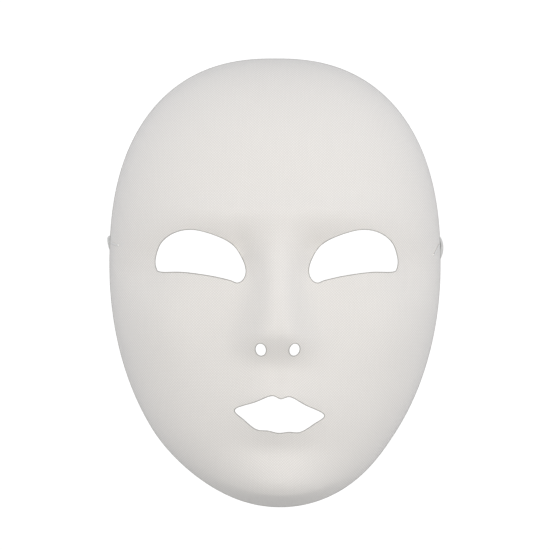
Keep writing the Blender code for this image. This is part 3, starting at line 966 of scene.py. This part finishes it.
def sweep_strap(name, start, end):
    """The strap between two places along its route, as a closed mesh with thread coordinates."""
    section = strap_section()
    stations = np.linspace(start, end, max(2, round((end - start) / STATION_SPACING)) + 1)
    bm = bmesh.new()
    rows = []
    for along in stations:
        middle, out, up, curl = strap_frame(along)
        drawn_in = curl * (2 * section[:, 0] / STRAP_WIDTH) ** 2
        rows.append([
            bm.verts.new(middle + up * across + out * (outward_by - inward_by))
            for (across, outward_by), inward_by in zip(section.tolist(), drawn_in.tolist())
        ])
    count = len(section)
    for near, far in zip(rows, rows[1:]):
        for i in range(count):
            bm.faces.new((near[i], near[(i + 1) % count], far[(i + 1) % count], far[i]))
    bm.faces.new(reversed(rows[0]))
    bm.faces.new(rows[-1])
    bmesh.ops.recalc_face_normals(bm, faces=bm.faces)
    mesh = bpy.data.meshes.new(name)
    bm.to_mesh(mesh)
    bm.free()
    mesh.materials.append(elastic)
    mesh.shade_smooth()
    mesh.set_sharp_from_angle(angle=SHARP_END)
    store_threads(
        mesh,
        np.repeat(stations, count) / RIB_SPACING,
        np.tile((section[:, 0] / STRAP_WIDTH + 0.5) * CORDS, len(stations)),
    )
    # The painted crease shadow, near each rim crossing and across the middle of the band.
    from_rim = np.minimum(stations, 2 * HALF_LOOP - stations)
    crease_shade = np.outer(bell(from_rim - CREASE_SHADE_PLACE, CREASE_SHADE_LENGTH), bell(section[:, 0], CREASE_SHADE_WIDTH))
    field = mesh.attributes.new(CREASE_SHADE_FIELD, "FLOAT", "POINT")
    field.data.foreach_set("value", crease_shade.astype(np.float32).ravel())
    made = bpy.data.objects.new(name, mesh)
    bpy.context.scene.collection.objects.link(made)
    return made


whole = 2 * HALF_LOOP
end_right = sweep_strap("elastic_end_right", -TAB_LENGTH, FLEX_LENGTH)
end_left = sweep_strap("elastic_end_left", whole - FLEX_LENGTH, whole + TAB_LENGTH)
loop = sweep_strap("elastic_loop", FLEX_LENGTH, whole - FLEX_LENGTH)

# %% [markdown]
# The strap bends just behind the rim when its loop swings, and it lengthens when the loop is pulled
# back. Here the two ends and the loop take the place of the imported strap pieces, which are hidden,
# and their places are baked into their meshes.

# %% Put the strap in place of the imported pieces
for name, piece in (("right", end_right), ("left", end_left)):
    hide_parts(f"strap_tab_{name}", f"strap_flex_{name}")
    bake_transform(piece)
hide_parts("strap_run_right", "strap_run_left", "strap_back")
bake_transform(loop)

# %% [markdown]
# ## The staples
#
# A stapler drives each staple from the outside: the crown lies on the cloth, more or less along the
# strap, and the legs go through all the layers and fold over on the strap. Neither is driven quite
# level, and the right one slants. The wire is a round bevelled curve whose corners are short arcs.

# %% Bend the staples
WIRE = 0.7 * MM
CROWN = 11.0 * MM
STAPLE_BEFORE_RIM = 16.5 * MM
STAPLE_LEVELS = {"right": 8.5 * MM, "left": 11.5 * MM}
STAPLE_TILTS = {"right": math.radians(32), "left": math.radians(6)}
CORNER_RADIUS = 0.8 * MM
CORNER_STEPS = 5
FOLDED_TIP = 4.2 * MM
TIP_GAP = 0.35 * MM
STACK = WALL_TO_STRAP + STRAP_THICKNESS


def bend_staple(name, side, level, tilt):
    """A closed staple on the wall: side is +1 or -1, and the wire rises backwards by the tilt."""
    middle = Vector((side * wall_side(STAPLE_BEFORE_RIM, level), -STAPLE_BEFORE_RIM, level))
    ahead = wall_side(STAPLE_BEFORE_RIM + WALL_STEP, level)
    behind = wall_side(STAPLE_BEFORE_RIM - WALL_STEP, level)
    above = wall_side(STAPLE_BEFORE_RIM, level + WALL_STEP)
    below = wall_side(STAPLE_BEFORE_RIM, level - WALL_STEP)
    backward = Vector((side * (behind - ahead), 2 * WALL_STEP, 0.0)).normalized()
    upward = Vector((side * (above - below), 0.0, 2 * WALL_STEP)).normalized()
    out = side * backward.cross(upward).normalized()
    along = (backward * math.cos(tilt) + upward * math.sin(tilt)).normalized()
    over, under = 0.5 * WIRE, -(STACK + TIP_GAP + 0.5 * WIRE)
    corner_middle = CORNER_RADIUS - 0.5 * CROWN
    path = [(FOLDED_TIP - 0.5 * CROWN, under), (corner_middle, under)]
    for centre_up, first in ((under + CORNER_RADIUS, 270), (over - CORNER_RADIUS, 180)):
        for step in range(1, CORNER_STEPS + 1):
            turn = math.radians(first - 90 * step / CORNER_STEPS)
            across = corner_middle + CORNER_RADIUS * math.cos(turn)
            path.append((across, centre_up + CORNER_RADIUS * math.sin(turn)))
    path += [(-t, n) for t, n in reversed(path)]
    places = [middle + along * t + out * n for t, n in path]
    return tube(name, places, 0.5 * WIRE, zinc, False)


for name, side in (("right", 1), ("left", -1)):
    piece = bend_staple(f"wire_staple_{name}", side, STAPLE_LEVELS[name], STAPLE_TILTS[name])
    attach(piece, "mask")
    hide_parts(f"staple_{name}")
    print(piece.name, "faces:", len(piece.data.polygons))

# %% [markdown]
# ## Finish
#
# The cutters have done their work and go.

# %% Remove the cutters
for cutter in list(cutters.objects):
    bpy.data.objects.remove(cutter)
bpy.data.collections.remove(cutters)
